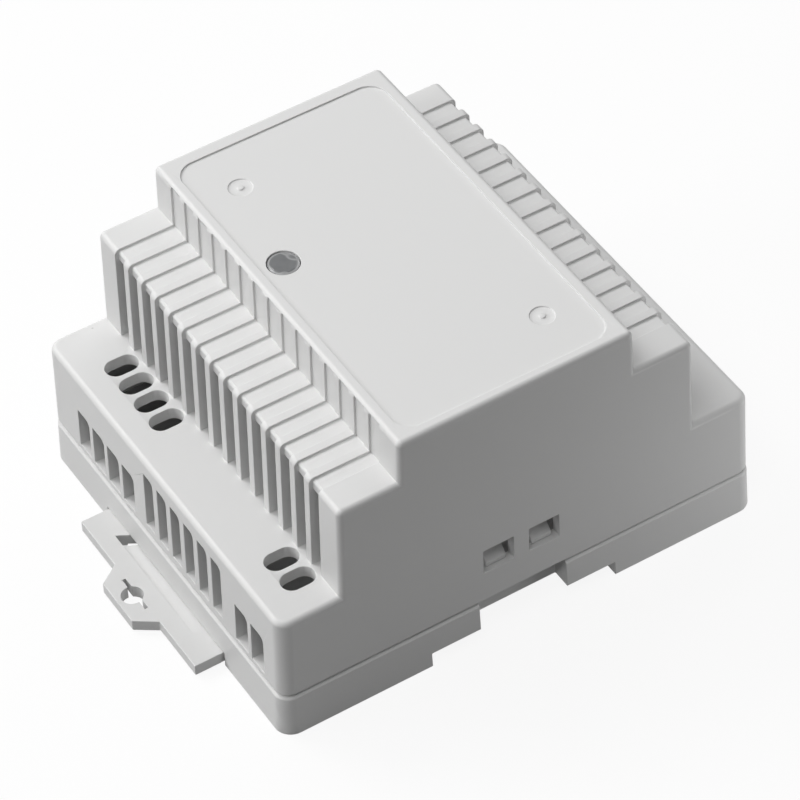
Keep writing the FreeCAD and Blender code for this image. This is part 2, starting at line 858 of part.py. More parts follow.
latch = new_body("RailLatch", "rail_latch")
latch_half = size("latch_width") / 2
bar_front = half_length + size("latch_reach")
tab_front = bar_front + size("tab_reach")
plate_sketch = new_sketch(latch, "PlateProfile", "XY_Plane", size("latch_low"))
plate_end = rail_half - 0.1
polygon(
    plate_sketch,
    [
        (-latch_half, -bar_front),
        (-size("tab_root") / 2, -bar_front),
        (-size("tab_front") / 2, -tab_front),
        (size("tab_front") / 2, -tab_front),
        (size("tab_root") / 2, -bar_front),
        (latch_half, -bar_front),
        (latch_half, -plate_end),
        (-latch_half, -plate_end),
    ],
)
extrude(latch, "Pad", "Plate", plate_sketch, size("latch_height"))

# In front of the base the bar and the tab are deeper than the guided plate

bar_back = half_length + size("bar_gap")
bar_sketch = new_sketch(latch, "FrontBarProfile", "XY_Plane", size("bar_low"))
polygon(
    bar_sketch,
    [
        (-latch_half, -bar_front),
        (-size("tab_root") / 2, -bar_front),
        (-size("tab_front") / 2, -tab_front),
        (size("tab_front") / 2, -tab_front),
        (size("tab_root") / 2, -bar_front),
        (latch_half, -bar_front),
        (latch_half, -bar_back),
        (-latch_half, -bar_back),
    ],
)
bar = extrude(latch, "Pad", "FrontBar", bar_sketch, latch_top - size("bar_low"))
bar_limit = -bar_back.number - 0.1
dress(
    latch, "Chamfer", "FrontBarLip", bar, "Size", size("bar_bevel"),
    lambda a, b, m: near(a.z, size("bar_low").number) and near(b.z, size("bar_low").number)
    and m.y < bar_limit,
)

nose_sketch = new_sketch(latch, "NoseProfile", "YZ_Plane")
nose_top = hook_top - size("latch_gap")
nose_tip = rail_half - size("hook_reach")
polygon(
    nose_sketch,
    [
        (-plate_end - 1.0, size("latch_low")),
        (-plate_end + 0.2, size("latch_low")),
        (-nose_tip, nose_top - 0.6),
        (-nose_tip, nose_top),
        (-plate_end - 1.0, nose_top),
    ],
)
extrude(latch, "Pad", "Nose", nose_sketch, size("latch_width") - size("guide_lip") * 2, both=True)

key_y = -(bar_front + size("key_reach"))
key_sketch = new_sketch(latch, "KeyHoleProfile", "XY_Plane", latch_top)
circle(key_sketch, 0.0, key_y, size("key_hole"))
extrude(latch, "Pocket", "KeyHole", key_sketch, size("latch_height") + clear)
key_slot_sketch = new_sketch(latch, "KeySlotProfile", "XY_Plane", latch_top)
key_slot_y = key_y + size("key_slot_shift")
rectangle(
    key_slot_sketch,
    -size("key_slot") / 2,
    size("key_slot") / 2,
    key_slot_y - size("key_slot_width") / 2,
    key_slot_y + size("key_slot_width") / 2,
)
extrude(latch, "Pocket", "KeySlot", key_slot_sketch, size("latch_height") + clear)

finger_front = bar_front - size("ramp_inset")
cut_back = finger_front - size("cut_depth")
cut_lean = size("cut_slant") * size("cut_depth") / 2.1
cut_sketch = new_sketch(latch, "FingerCutProfile", "XY_Plane", latch_top)
polygon(
    cut_sketch,
    [
        (size("cut_start"), -finger_front),
        (size("cut_start") + size("cut_width"), -finger_front),
        (size("cut_start") + size("cut_width") + cut_lean, -cut_back),
        (size("cut_start") + cut_lean, -cut_back),
    ],
)
extrude(latch, "Pocket", "FingerCut", cut_sketch, size("latch_height") + clear)

ramp_start = size("cut_start") + size("cut_width") / 2
ramp_sketch = new_sketch(latch, "RampProfile", "YZ_Plane", ramp_start)
polygon(
    ramp_sketch,
    [
        (-finger_front, latch_top - size("ramp_depth")),
        (-finger_front + size("ramp_inset"), latch_top),
        (-finger_front + size("ramp_inset"), latch_top + 1.0),
        (-finger_front, latch_top + 1.0),
    ],
)
extrude(latch, "Pocket", "Ramp", ramp_sketch, size("ramp_length"), reverse=True)

window_front = stop_front + size("stop_gap")
window_back = stop_front - size("stop_length") - size("latch_travel") - size("stop_gap")
stop_window_sketch = new_sketch(latch, "StopWindowProfile", "XY_Plane", latch_top)
rectangle(
    stop_window_sketch,
    -size("stop_width") / 2 - size("stop_gap"),
    size("stop_width") / 2 + size("stop_gap"),
    -window_front,
    -window_back,
)
extrude(latch, "Pocket", "StopWindow", stop_window_sketch, size("latch_height") + clear)

# Indicator lens: a stepped plug seated against the underside of the lid

lens = new_body("IndicatorLens", "indicator_lens")
lens_sketch = new_sketch(lens, "LensProfile", "XZ_Plane", -size("lamp_y"))
lens_x = size("lamp_x")
lens_radius = size("lamp_hole") / 2 - size("lamp_gap")
flange_radius = size("lamp_flange") / 2
flange_low = under_top - size("lamp_flange_height")
lens_face = label_floor - size("lamp_sink")
polygon(
    lens_sketch,
    [
        (lens_x, flange_low),
        (lens_x + flange_radius, flange_low),
        (lens_x + flange_radius, under_top),
        (lens_x + lens_radius, under_top),
        (lens_x + lens_radius, lens_face - size("lens_bevel_height")),
        (lens_x + lens_radius - size("lens_bevel_width"), lens_face),
        (lens_x, lens_face),
    ],
)
axis = lens_sketch.addGeometry(
    Part.LineSegment(Vector(lens_x.number, 0, 0), Vector(lens_x.number, 5, 0)), True,
)
pin_point(lens_sketch, axis, 1, (lens_x, 0.0))
pin_point(lens_sketch, axis, 2, (lens_x, 5.0))
spin = lens.newObject("PartDesign::Revolution", "LensBody")
spin.Profile = lens_sketch
spin.ReferenceAxis = (lens_sketch, ["Axis0"])
spin.Angle = 360.0
lens_sketch.Visibility = False

doc.recompute()

# Everything is checked before anything is written

failed = []
for item in doc.Objects:
    states = [state for state in item.State if state in ("Invalid", "Error")]
    if states:
        failed.append("{}: {}".format(item.Name, ", ".join(states)))
pieces = [cover, base, latch, lens]
for piece in pieces:
    shape = piece.Shape
    if shape.isNull() or not shape.isValid() or len(shape.Solids) != 1:
        failed.append("{}: the shape isn't one valid solid".format(piece.Label))
if failed:
    raise RuntimeError("; ".join(failed))

os.makedirs("parts", exist_ok=True)
for piece in pieces:
    piece.Shape.exportStep("parts/{}.step".format(piece.Label))
    box = piece.Shape.BoundBox
    print(
        "{}: {} faces, {:.0f} mm3, x {:.2f} to {:.2f}, y {:.2f} to {:.2f}, z {:.2f} to {:.2f}".format(
            piece.Label, len(piece.Shape.Faces), piece.Shape.Volume,
            box.XMin, box.XMax, box.YMin, box.YMax, box.ZMin, box.ZMax,
        )
    )
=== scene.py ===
"""Looks of the DIN rail enclosure: finishes, broken edges, a studio and the camera."""

from __future__ import annotations

import json
import logging
import math
from dataclasses import dataclass
from enum import Enum
from typing import Any, Union

import bpy
from mathutils import Matrix, Vector

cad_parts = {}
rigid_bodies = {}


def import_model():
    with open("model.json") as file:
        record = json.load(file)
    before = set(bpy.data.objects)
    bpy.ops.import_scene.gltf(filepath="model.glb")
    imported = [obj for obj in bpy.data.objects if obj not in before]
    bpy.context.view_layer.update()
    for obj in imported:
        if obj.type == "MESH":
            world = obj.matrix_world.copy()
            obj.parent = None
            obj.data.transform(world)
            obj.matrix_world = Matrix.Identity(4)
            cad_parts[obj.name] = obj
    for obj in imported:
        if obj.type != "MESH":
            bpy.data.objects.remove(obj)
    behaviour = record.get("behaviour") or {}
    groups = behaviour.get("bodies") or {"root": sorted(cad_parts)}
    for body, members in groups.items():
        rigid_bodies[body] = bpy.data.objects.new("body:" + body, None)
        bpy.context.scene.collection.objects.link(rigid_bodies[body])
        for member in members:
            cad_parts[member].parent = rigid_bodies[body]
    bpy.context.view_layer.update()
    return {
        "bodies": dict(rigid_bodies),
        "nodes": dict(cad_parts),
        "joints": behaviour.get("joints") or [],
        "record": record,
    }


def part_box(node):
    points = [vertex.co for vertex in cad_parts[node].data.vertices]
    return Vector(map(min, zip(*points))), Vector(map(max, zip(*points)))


LOG = logging.getLogger("din_rail_enclosure")
MM = 0.001
WELD_DISTANCE = 0.000002
FLAT_FACE_WEIGHT = 90

Colour = tuple[float, float, float]
Point = tuple[float, float, float]
Box = tuple[Point, Point]
Value = Union["Term", float, int]

BLACK: Colour = (0.0, 0.0, 0.0)
WHITE: Colour = (1.0, 1.0, 1.0)


class Node(str, Enum):
    """Pieces that come from the CAD part."""

    COVER = "cover"
    BASE = "base"
    LATCH = "rail_latch"
    LENS = "indicator_lens"


class Slot(str, Enum):
    """Material slots of the part's record."""

    HOUSING = "housing_plastic"
    LATCH = "latch_plastic"
    LENS = "lens_plastic"


# Node trees, for shaders and for geometry


class Tree:
    """Builds one node tree, with a single method that makes every node."""

    def __init__(self, tree: bpy.types.NodeTree) -> None:
        """Start with an empty tree."""
        self.tree = tree
        tree.nodes.clear()

    def add(self, kind: str, settings: dict[str, Any] | None = None, **values: Any) -> bpy.types.Node:
        """Make a node.

        Args:
            kind: Blender's name of the node type.
            settings: Properties to set before any input is filled.
            values: Inputs by name, with spaces written as underscores. Each is a value or a link.

        Returns:
            The new node.
        """
        node = self.tree.nodes.new(kind)
        for name, value in (settings or {}).items():
            setattr(node, name, value)
        for name, value in values.items():
            self.feed(self.socket(node, name), value)
        return node

    @staticmethod
    def socket(node: bpy.types.Node, name: str) -> bpy.types.NodeSocket:
        """Find an input of a node.

        Args:
            node: The node.
            name: The input's name, or its place when it is like in0.

        Returns:
            The input.
        """
        if name.startswith("in") and name[2:].isdigit():
            return node.inputs[int(name[2:])]
        wanted = name.replace("_", " ").lower()
        for item in node.inputs:
            if item.name.lower() == wanted and item.enabled:
                return item
        raise KeyError(f"{node.bl_idname} has no input {name}")

    def feed(self, socket: bpy.types.NodeSocket, value: Any) -> None:
        """Fill an input.

        Args:
            socket: The input.
            value: A constant, a term or another node's output.
        """
        if isinstance(value, Term):
            value = value.socket
        if isinstance(value, bpy.types.NodeSocket):
            self.tree.links.new(value, socket)
        elif isinstance(value, (tuple, list)) and len(value) == 3 and len(socket.default_value) == 4:
            socket.default_value = (*value, 1.0)
        else:
            socket.default_value = value

    def term(self, socket: bpy.types.NodeSocket) -> "Term":
        """Wrap an output for arithmetic."""
        return Term(self, socket)

    def noise(
        self, place: bpy.types.NodeSocket, scale: float, detail: float = 2.0, rough: float = 0.5,
    ) -> "Term":
        """Make fractal noise.

        Args:
            place: Where it is read.
            scale: Waves per metre, roughly.
            detail: Number of finer layers.
            rough: Share of each finer layer.

        Returns:
            The noise, from 0 to 1.
        """
        node = self.add(
            "ShaderNodeTexNoise", {"noise_dimensions": "3D"},
            Vector=place, Scale=scale, Detail=detail, Roughness=rough,
        )
        return self.term(node.outputs[0])

    def mix_shader(self, factor: Value, low: bpy.types.Node, high: bpy.types.Node) -> bpy.types.Node:
        """Mix two shaders.

        Args:
            factor: Share of the second.
            low: The first shader.
            high: The second shader.

        Returns:
            The mixed shader.
        """
        node = self.add("ShaderNodeMixShader")
        self.feed(node.inputs[0], factor)
        self.feed(node.inputs[1], low.outputs[0])
        self.feed(node.inputs[2], high.outputs[0])
        return node

    def mix_colour(self, factor: Value, low: Any, high: Any) -> bpy.types.NodeSocket:
        """Mix two colours.

        Args:
            factor: Share of the second.
            low: The first colour.
            high: The second colour.

        Returns:
            The mixed colour.
        """
        node = self.add("ShaderNodeMix", {"data_type": "RGBA", "clamp_factor": True})
        self.feed(node.inputs[0], factor)
        self.feed(node.inputs[6], low)
        self.feed(node.inputs[7], high)
        return node.outputs[2]


class Term:
    """A number in a node tree that can be used in ordinary sums."""

    def __init__(self, tree: Tree, socket: bpy.types.NodeSocket) -> None:
        """Wrap one output."""
        self.tree = tree
        self.socket = socket

    def _math(self, operation: str, *values: Value) -> "Term":
        """Add one Math node.

        Args:
            operation: Blender's name of the operation.
            values: What it works on, in order.

        Returns:
            Its result.
        """
        node = self.tree.add("ShaderNodeMath", {"operation": operation})
        for index, value in enumerate(values):
            self.tree.feed(node.inputs[index], value)
        return Term(self.tree, node.outputs[0])

    def __add__(self, other: Value) -> "Term":
        """Sum."""
        return self._math("ADD", self, other)

    __radd__ = __add__

    def __mul__(self, other: Value) -> "Term":
        """Product."""
        return self._math("MULTIPLY", self, other)

    __rmul__ = __mul__

    def __sub__(self, other: Value) -> "Term":
        """Difference."""
        return self._math("SUBTRACT", self, other)

    def __rsub__(self, other: Value) -> "Term":
        """Difference from a number."""
        return self._math("SUBTRACT", other, self)

    def __truediv__(self, other: Value) -> "Term":
        """Quotient."""
        return self._math("DIVIDE", self, other)

    def __abs__(self) -> "Term":
        """Size without sign."""
        return self._math("ABSOLUTE", self)

    def power(self, exponent: Value) -> "Term":
        """Raise to a power."""
        return self._math("POWER", self, exponent)

    def largest(self, other: Value) -> "Term":
        """The larger of two."""
        return self._math("MAXIMUM", self, other)

    def above(self, other: Value) -> "Term":
        """Return 1 where it is larger, otherwise 0."""
        return self._math("GREATER_THAN", self, other)

    def ramp(self, low: float, high: float) -> "Term":
        """Rise smoothly from 0 at low to 1 at high."""
        node = self.tree.add(
            "ShaderNodeMapRange", {"interpolation_type": "SMOOTHSTEP"},
            Value=self, From_Min=low, From_Max=high, To_Min=0.0, To_Max=1.0,
        )
        return Term(self.tree, node.outputs[0])


def new_material(name: str) -> tuple[bpy.types.Material, Tree, bpy.types.Node]:
    """Make a material with its tree and output node.

    Args:
        name: Name of the material.

    Returns:
        The material, its tree and the output node.
    """
    material = bpy.data.materials.new(name)
    material.use_nodes = True
    tree = Tree(material.node_tree)
    return material, tree, tree.add("ShaderNodeOutputMaterial")


def new_group(name: str) -> tuple[bpy.types.GeometryNodeTree, Tree, bpy.types.Node]:
    """Make a geometry node group.

    Args:
        name: Name of the group.

    Returns:
        The group, its tree and its input node.
    """
    group = bpy.data.node_groups.new(name, "GeometryNodeTree")
    group.interface.new_socket("Geometry", in_out="INPUT", socket_type="NodeSocketGeometry")
    group.interface.new_socket("Geometry", in_out="OUTPUT", socket_type="NodeSocketGeometry")
    tree = Tree(group)
    return group, tree, tree.add("NodeGroupInput")


def end_group(tree: Tree, last: bpy.types.Node) -> None:
    """Send the last node's geometry to the group's output."""
    end = tree.add("NodeGroupOutput")
    tree.feed(end.inputs[0], last.outputs[0])


def within(tree: Tree, box: Box) -> Value:
    """Tell the points inside a box from the rest.

    Args:
        tree: The geometry tree.
        box: Low and high corner of the box, in millimetres.

    Returns:
        1 inside the box, otherwise 0.
    """
    split = tree.add("ShaderNodeSeparateXYZ", Vector=tree.add("GeometryNodeInputPosition").outputs[0])
    inside: Value = 1.0
    for output, low, high in zip(split.outputs, *box):
        place = tree.term(output)
        inside = inside * place.above(low * MM) * (1.0 - place.above(high * MM))
    return inside


# Finishes


@dataclass(frozen=True)
class PaintedInnerShade:
    """The room inside the housing, in the part's own frame, as rooms stacked one on another. Its faces get
    painted shade, a darker colour that stands in for the shade inside the nearly closed box.

    Args:
        half_width: Half of its width along the rail, in millimetres.
        rooms: Low and high limit of each room's height and half of its length across the rail,
            in millimetres.
        shade: Share of the plain colour that the inner faces keep under the painted shade.
    """

    half_width: float
    rooms: tuple[tuple[float, float, float], ...] = (
        (0.5, 2.5, 18.1),
        (-1.1, 21.0, 43.45),
        (20.5, 30.0, 31.75),
        (30.0, 40.55, 31.45),
        (40.0, 49.8, 20.2),
    )
    shade: float = 0.55

    def mask(self, tree: Tree, place: bpy.types.NodeSocket) -> Term:
        """Tell the inner faces from the outer ones.

        Args:
            tree: The shader tree.
            place: Where it is read.

        Returns:
            1 on the inner faces and 0 on the outer ones.
        """
        split = tree.add("ShaderNodeSeparateXYZ", Vector=place)
        x, y, z = (tree.term(output) for output in split.outputs)
        inside = x * 0.0
        across = abs(y)
        for low, high, half_length in self.rooms:
            room = z.above(low * MM) * (1.0 - z.above(high * MM)) * (1.0 - across.above(half_length * MM))
            inside = inside.largest(room)
        return inside * (1.0 - abs(x).above(self.half_width * MM))


@dataclass(frozen=True)
class Dust:
    """The few dark specks of dust on a moulding.

    Args:
        strength: How far a speck takes on the dust's colour.
        colour: Colour of the dust, linear.
        dullness: What a speck adds to the roughness.
        cells: Cells per metre, each with room for one speck.
        rarity: Of a draw from 0 to 1, where a cell starts to show its speck and where it shows it in full.
        least: Radius of the smallest speck, in cells.
        spread: How much larger the largest is, in cells.
        edge: Shares of the radius at which a speck starts to fade and is gone.
    """

    strength: float = 0.30
    colour: Colour = (0.18, 0.17, 0.16)
    dullness: float = 0.2
    cells: float = 190.0
    rarity: tuple[float, float] = (0.90, 0.93)
    least: float = 0.012
    spread: float = 0.035
    edge: tuple[float, float] = (0.6, 1.0)

    def mask(self, tree: Tree, place: bpy.types.NodeSocket) -> Term:
        """Scatter the specks.

        Args:
            tree: The shader tree.
            place: Where it is read.

        Returns:
            1 on a speck, otherwise 0.
        """
        cells = tree.add(
            "ShaderNodeTexVoronoi", {"feature": "F1", "voronoi_dimensions": "3D"},
            Vector=place, Scale=self.cells, Randomness=1.0,
        )
        distance = tree.term(cells.outputs["Distance"])
        chance = tree.add("ShaderNodeSeparateColor")
        tree.feed(chance.inputs[0], cells.outputs["Color"])
        chosen = tree.term(chance.outputs[0]).ramp(*self.rarity)
        size = tree.term(chance.outputs[1]) * self.spread + self.least
        return (1.0 - (distance / size).ramp(*self.edge)) * chosen


@dataclass(frozen=True)
class MouldedPlastic:
    """Light grey ABS as it leaves a finely eroded mould.

    Args:
        name: Name of the material.
        colour: Plain colour, linear.
        painted_inner_shade: The room whose faces get painted shade, a darker colour that stands in for the
            shade inside, if the piece has one.
        roughness: Middle of the sheen.
        grain: Height of the fine grain in metres.
        waviness: Height of the slow sink waves in metres.
        clouding: Strength of the slow colour change from the flow of the melt.
        tint: How far the darkest and the lightest cloud can be from the plain colour.
        slow_scale: Waves per metre of the sink waves and slow clouds.
        middle_scale: Waves per metre of the small clouds.
        fine_scale: Waves per metre of the grain.
        slow_sheen: How much the slow clouds change the sheen.
        middle_sheen: How much the small clouds change the sheen.
        refraction: Index of refraction.
        dust: The specks on it.
    """

    name: str
    colour: Colour
    painted_inner_shade: PaintedInnerShade | None = None
    roughness: float = 0.45
    grain: float = 0.0000035
    waviness: float = 0.00002
    clouding: float = 0.02
    tint: float = 0.06
    slow_scale: float = 38.0
    middle_scale: float = 420.0
    fine_scale: float = 2600.0
    slow_sheen: float = 0.06
    middle_sheen: float = 0.10
    refraction: float = 1.5
    dust: Dust = Dust()

    def build(self) -> bpy.types.Material:
        """Return the material."""
        material, tree, output = new_material(self.name)
        place = tree.add("ShaderNodeTexCoord").outputs["Object"]
        slow = tree.noise(place, self.slow_scale, 2.0)
        fine = tree.noise(place, self.fine_scale, 2.0, 0.6)
        middle = tree.noise(place, self.middle_scale, 3.0, 0.55)
        cloud = (slow - 0.5) * (2.0 * self.clouding) + (middle - 0.5) * self.clouding
        dark = tree.mix_colour(self.tint, self.colour, BLACK)
        lit = tree.mix_colour(self.tint, self.colour, WHITE)
        shade = tree.mix_colour(cloud + 0.5, dark, lit)
        specks = self.dust.mask(tree, place)
        base = tree.mix_colour(specks * self.dust.strength, shade, self.dust.colour)
        # Painted shade: the faces inside the housing take a darker colour that stands in for the shade
        # there.
        if self.painted_inner_shade:
            inner = self.painted_inner_shade.mask(tree, place)
            base = tree.mix_colour(inner, base, tuple(c * self.painted_inner_shade.shade for c in self.colour))
        clouded = (middle - 0.5) * self.middle_sheen + (slow - 0.5) * self.slow_sheen
        sheen = clouded + specks * self.dust.dullness + self.roughness
        height = fine * self.grain + slow * self.waviness
        bump = tree.add("ShaderNodeBump", Strength=1.0, Distance=1.0, Height=height)
        shader = tree.add(
            "ShaderNodeBsdfPrincipled",
            Base_Color=base, Roughness=sheen, IOR=self.refraction, Normal=bump.outputs[0],
        )
        tree.feed(output.inputs["Surface"], shader.outputs[0])
        return material


@dataclass(frozen=True)
class SmokeLens:
    """Smoke plastic of the indicator lens, with a painted highlight on its rim and pale painted highlight
    lines in its face.

    Args:
        name: Name of the material.
        colour: Colour of the face, linear.
        painted_rim_highlight: Colour of the painted highlight on the rim, linear.
        middle: Middle of the lens, in millimetres.
        radius: Radius at which the painted rim highlight starts, in millimetres.
        blend: Half of the width over which the face turns into the painted rim highlight, in millimetres.
        painted_highlight_streaks: Strength of the pale painted highlight that runs in streak lines through
            the face.
        painted_highlight_colour: Colour of the painted highlight lines, linear.
        painted_highlight_scale: Waves per metre of the noise that the painted highlight lines follow.
        painted_highlight_level: Level of that noise at which a painted highlight line runs.
        painted_highlight_reach: How far from that level a painted highlight line has faded out.
        cloud_scale: Waves per metre of the clouds in the face.
        cloud_gain: How much brighter the brightest cloud is than the face.
        roughness: Roughness where the clouds are darkest.
        cloud_sheen: What the brightest cloud adds to the roughness.
        ripple: Height of the ripples in metres.
        ripple_strength: Share of that height that shows.
        clearness: Share of the light that goes through.
        refraction: Index of refraction.
    """

    name: str
    colour: Colour
    painted_rim_highlight: Colour
    middle: tuple[float, float]
    radius: float
    blend: float = 0.05
    painted_highlight_streaks: float = 0.30
    painted_highlight_colour: Colour = (0.8, 0.8, 0.8)
    painted_highlight_scale: float = 260.0
    painted_highlight_level: float = 0.46
    painted_highlight_reach: float = 0.03
    cloud_scale: float = 900.0
    cloud_gain: float = 1.25
    roughness: float = 0.12
    cloud_sheen: float = 0.15
    ripple: float = 0.00004
    ripple_strength: float = 0.6
    clearness: float = 0.2
    refraction: float = 1.49

    def build(self) -> bpy.types.Material:
        """Return the material."""
        material, tree, output = new_material(self.name)
        place = tree.add("ShaderNodeTexCoord").outputs["Object"]
        cloud = tree.noise(place, self.cloud_scale, 3.0)
        split = tree.add("ShaderNodeSeparateXYZ", Vector=place)
        x = tree.term(split.outputs[0]) - self.middle[0] * MM
        y = tree.term(split.outputs[1]) - self.middle[1] * MM
        reach = (x * x + y * y).power(0.5) / MM
        # Painted highlight: pale lines mixed into the face's colour stand in for light glinting in the
        # lens.
        flow = tree.noise(place, self.painted_highlight_scale, 0.0)
        mark = (1.0 - abs(flow - self.painted_highlight_level).ramp(0.0, self.painted_highlight_reach)) * self.painted_highlight_streaks
        tint = tree.mix_colour(cloud, self.colour, tuple(c * self.cloud_gain for c in self.colour))
        tint = tree.mix_colour(mark, tint, self.painted_highlight_colour)
        # Painted highlight: a lighter ring on the rim stands in for the light that the rim of the clear
        # lens catches.
        rim = reach.ramp(self.radius - self.blend, self.radius + self.blend)
        tint = tree.mix_colour(rim, tint, self.painted_rim_highlight)
        bump = tree.add(
            "ShaderNodeBump", Strength=self.ripple_strength, Distance=self.ripple, Height=cloud,
        )
        shader = tree.add(
            "ShaderNodeBsdfPrincipled",
            Base_Color=tint, Roughness=cloud * self.cloud_sheen + self.roughness, IOR=self.refraction,
            Transmission_Weight=self.clearness, Normal=bump.outputs[0],
        )
        tree.feed(output.inputs["Surface"], shader.outputs[0])
        return material


# Pieces


@dataclass(frozen=True)
class EdgeStyle:
    """How the sharp edges of a moulding are broken.

    Args:
        width: Width of the broken edge in metres.
        steps: Facets across it.
        angle: Edges that turn by more than this many degrees are broken.
        smooth: Faces that meet at less than this many degrees are shaded as one.
        crisp: Boxes whose edges stay unbroken, in millimetres.
    """

    width: float = 0.00010
    steps: int = 2
    angle: float = 32.0
    smooth: float = 50.0
    crisp: tuple[Box, ...] = ()

    def group(self, name: str) -> bpy.types.GeometryNodeTree:
        """Make the node group that marks which edges get broken.

        Args:
            name: Name of the piece.

        Returns:
            The group.
        """
        group, tree, start = new_group(f"Edges_{name}")
        angle = tree.term(tree.add("GeometryNodeInputMeshEdgeAngle").outputs[0])
        chosen = angle.above(math.radians(self.angle))
        for box in self.crisp:
            chosen = chosen * (1.0 - within(tree, box))
        store = tree.add(
            "GeometryNodeStoreNamedAttribute", {"data_type": "FLOAT", "domain": "EDGE"},
            Geometry=start.outputs[0], Name="bevel_weight_edge", Value=chosen,
        )
        end_group(tree, store)
        return group


@dataclass(frozen=True)
class ScrewHoles:
    """The long holes over the terminal screws: they go right through, and the far deck lacks the last pair.

    All sizes are in millimetres.

    Args:
        rows: First place along the rail, place across it and number of the holes of each row.
        filled: A box round the floors of the recesses that are not in the photo.
        fill: How far such a floor moves up to meet the deck.
        pitch: Distance between neighbours.
        width: Width of a hole, a hair under the recess above it.
        length: Length of a hole.
        low: Height at which the cut starts.
        high: Height at which the cut ends.
        facets: Sides of the round that ends a hole.
    """

    rows: tuple[tuple[float, float, int], ...] = (
        (-26.5, -37.43, 4),
        (25.8, -37.43, 2),
        (-26.5, 37.43, 4),
    )
    filled: Box = ((23.0, 34.0, 21.0), (34.0, 41.0, 21.25))
    fill: float = 2.2
    pitch: float = 5.04
    width: float = 3.95
    length: float = 6.05
    low: float = 20.3
    high: float = 22.2
    facets: int = 32

    def group(self) -> bpy.types.GeometryNodeTree:
        """Return the node group that cuts the holes and closes the recesses that are too many."""
        group, tree, start = new_group("ScrewHoles")
        reach = (self.length - self.width) / 2.0
        ends = tree.add("GeometryNodeJoinGeometry")
        for sign in (-1.0, 1.0):
            drum = tree.add(
                "GeometryNodeMeshCylinder", Vertices=self.facets,
                Radius=self.width / 2.0 * MM, Depth=(self.high - self.low) * MM,
            )
            moved = tree.add(
                "GeometryNodeTransform", Geometry=drum.outputs[0],
                Translation=(0.0, sign * reach * MM, (self.high + self.low) / 2.0 * MM),
            )
            tree.feed(ends.inputs[0], moved.outputs[0])
        cutter = tree.add("GeometryNodeConvexHull", Geometry=ends.outputs[0])
        spots = tree.add("GeometryNodeJoinGeometry")
        for first, row, count in self.rows:
            line = tree.add(
                "GeometryNodeMeshLine", {"mode": "OFFSET"}, Count=count,
                Start_Location=(first * MM, row * MM, 0.0), Offset=(self.pitch * MM, 0.0, 0.0),
            )
            tree.feed(spots.inputs[0], line.outputs[0])
        rows = tree.add(
            "GeometryNodeInstanceOnPoints", Points=spots.outputs[0], Instance=cutter.outputs[0],
        )
        solid = tree.add("GeometryNodeRealizeInstances", Geometry=rows.outputs[0])
        cut = tree.add("GeometryNodeMeshBoolean", {"operation": "DIFFERENCE", "solver": "EXACT"})
        raised = tree.add(
            "GeometryNodeSetPosition", Geometry=start.outputs[0], Offset=(0.0, 0.0, self.fill * MM),
        )
        tree.feed(raised.inputs["Selection"], within(tree, self.filled))
        closed = tree.add(
            "GeometryNodeMergeByDistance", Geometry=raised.outputs[0], Distance=WELD_DISTANCE,
        )
        tree.feed(cut.inputs[0], closed.outputs[0])
        tree.feed(cut.inputs[1], solid.outputs[0])
        end_group(tree, cut)
        return group


@dataclass(frozen=True)
class RampEnd:
    """The shallow end of the latch's thumb ramp, which fades into the plate.

    All sizes are in millimetres.

    Args:
        corner: The low corner of the ramp's far end.
        reach: How near a point must be to that corner to move with it.
        lift: How far the corner moves up.
    """

    corner: Point = (13.02, -48.46, -0.81)
    reach: float = 0.1
    lift: float = 0.47

    def group(self) -> bpy.types.GeometryNodeTree:
        """Return the node group that lifts the corner."""
        group, tree, start = new_group("RampEnd")
        gap = tree.add(
            "ShaderNodeVectorMath", {"operation": "DISTANCE"},
            in0=tree.add("GeometryNodeInputPosition").outputs[0], in1=tuple(v * MM for v in self.corner),
        )
        far = tree.term(gap.outputs["Value"]).above(self.reach * MM)
        moved = tree.add(
            "GeometryNodeSetPosition", Geometry=start.outputs[0], Offset=(0.0, 0.0, self.lift * MM),
        )
        tree.feed(moved.inputs["Selection"], 1.0 - far)
        end_group(tree, moved)
        return group


def shading_group(limit: float) -> bpy.types.GeometryNodeTree:
    """Make the node group that shades a mesh smooth across its soft edges, once for each limit.

    Args:
        limit: Edges that turn by less than this many degrees are soft.

    Returns:
        The group.
    """
    name = f"ShadeBelow{limit:.0f}"
    if name in bpy.data.node_groups:
        return bpy.data.node_groups[name]
    group, tree, start = new_group(name)
    plain = tree.add("GeometryNodeRemoveAttribute", Geometry=start.outputs[0], Name="custom_normal")
    angle = tree.add("GeometryNodeInputMeshEdgeAngle")
    soft = tree.add("FunctionNodeCompare", {"data_type": "FLOAT", "operation": "LESS_THAN"})
    tree.feed(soft.inputs[0], angle.outputs[0])
    tree.feed(soft.inputs[1], math.radians(limit))
    faces = tree.add("GeometryNodeSetShadeSmooth", {"domain": "FACE"}, Geometry=plain.outputs[0])
    edges = tree.add("GeometryNodeSetShadeSmooth", {"domain": "EDGE"}, Geometry=faces.outputs[0])
    tree.feed(edges.inputs["Shade Smooth"], soft.outputs[0])
    end_group(tree, edges)
    return group


